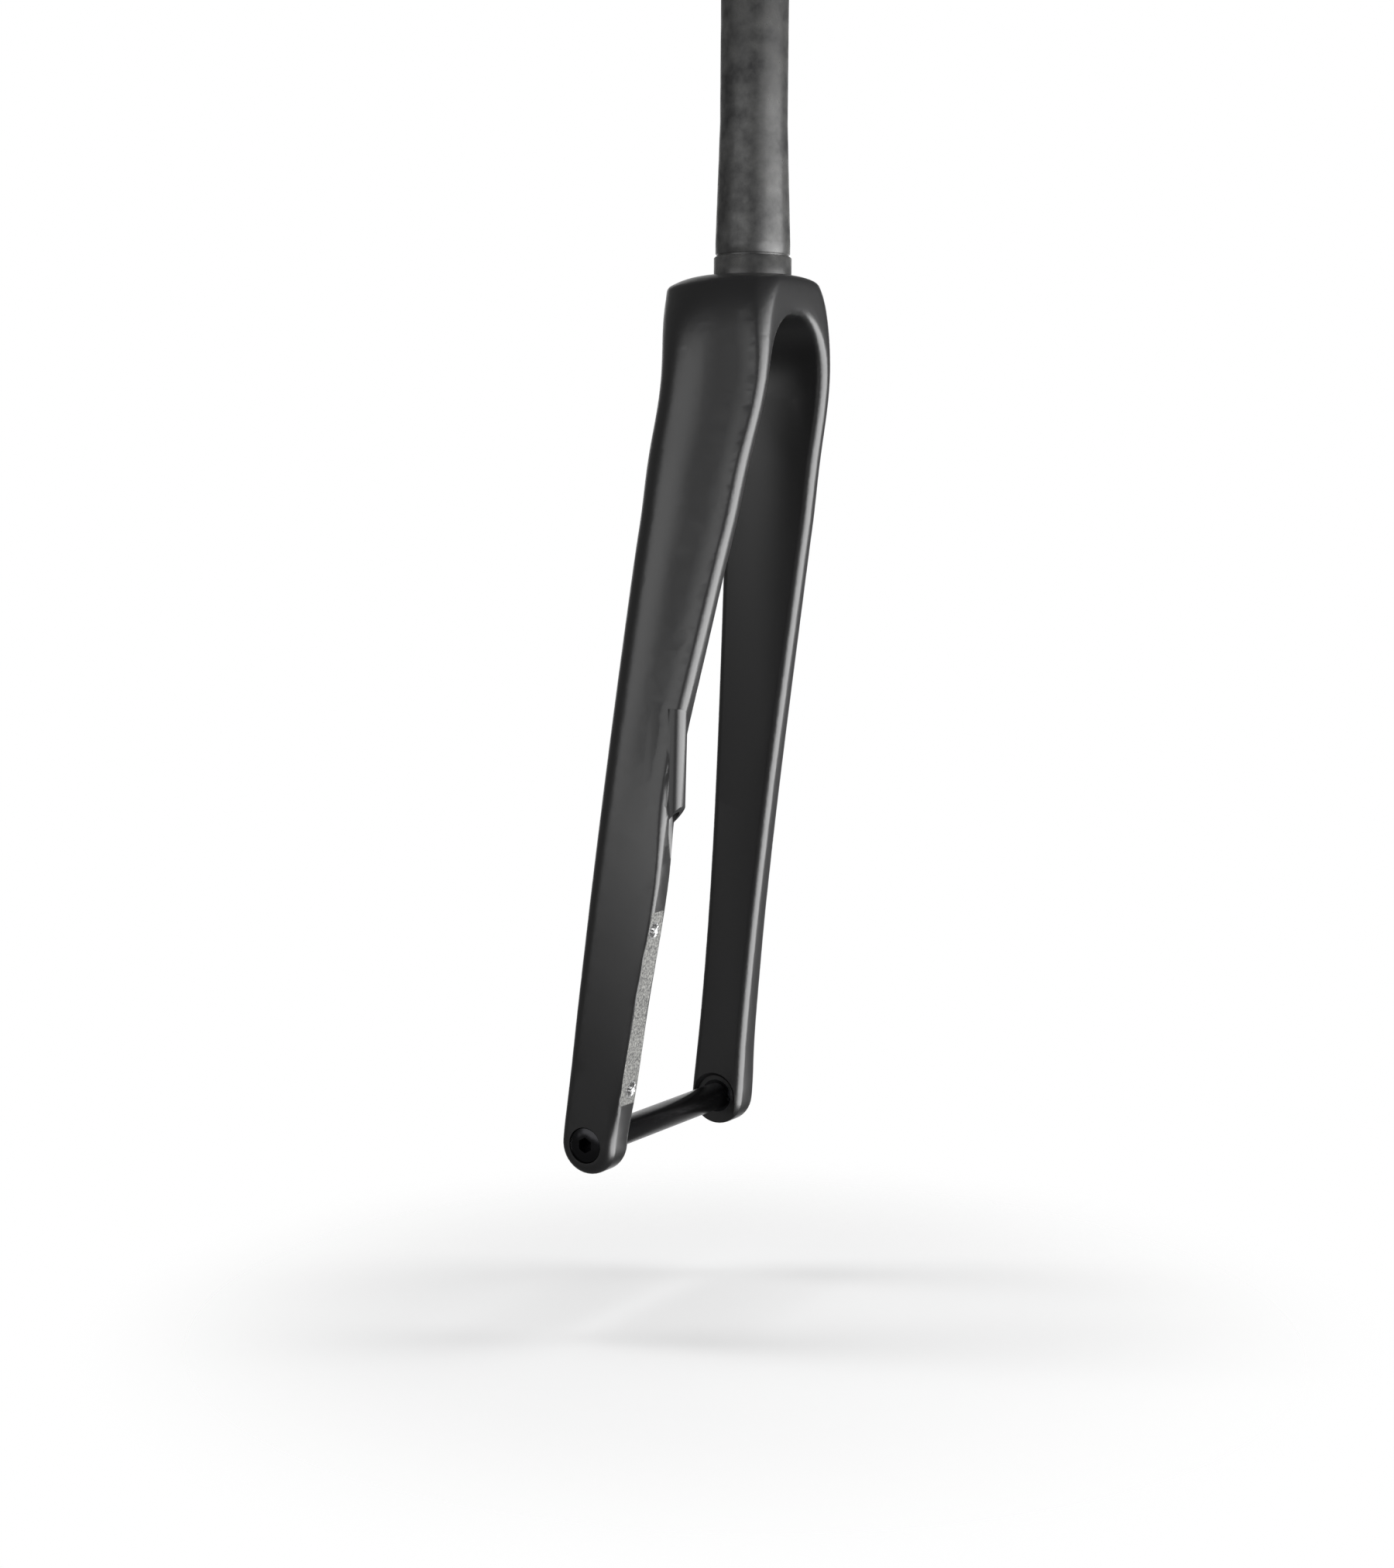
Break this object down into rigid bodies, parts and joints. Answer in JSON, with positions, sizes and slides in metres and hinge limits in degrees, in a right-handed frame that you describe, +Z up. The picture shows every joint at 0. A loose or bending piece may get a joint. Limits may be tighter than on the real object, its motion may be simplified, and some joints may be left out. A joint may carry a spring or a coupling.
{
  "type": "rigid bicycle fork",
  "caption": "Rigid fork for a road or gravel bicycle, with a tapered steerer tube, an arched crown, blade legs, a flat-mount disc brake pad and a through axle.",
  "frame": {"origin": "centre of the base of the crown race seat, on the steering axis", "axes": "+Z up the steering axis, +X to the rider's left, which is the brake side, +Y to the rear"},
  "size_m": [0.127, 0.0788, 0.6813],
  "materials": {
    "satin_black": "satin",
    "bare_tube": "matte",
    "black_metal": "satin",
    "bare_metal": "machined"
  },
  "bodies": {
    "root": {"crown_and_legs": "satin_black", "steerer": "bare_tube", "thru_axle": "black_metal", "axle_thread_insert": "bare_metal", "caliper_insert_upper": "bare_metal", "caliper_insert_lower": "bare_metal"}
  },
  "joints": []
}
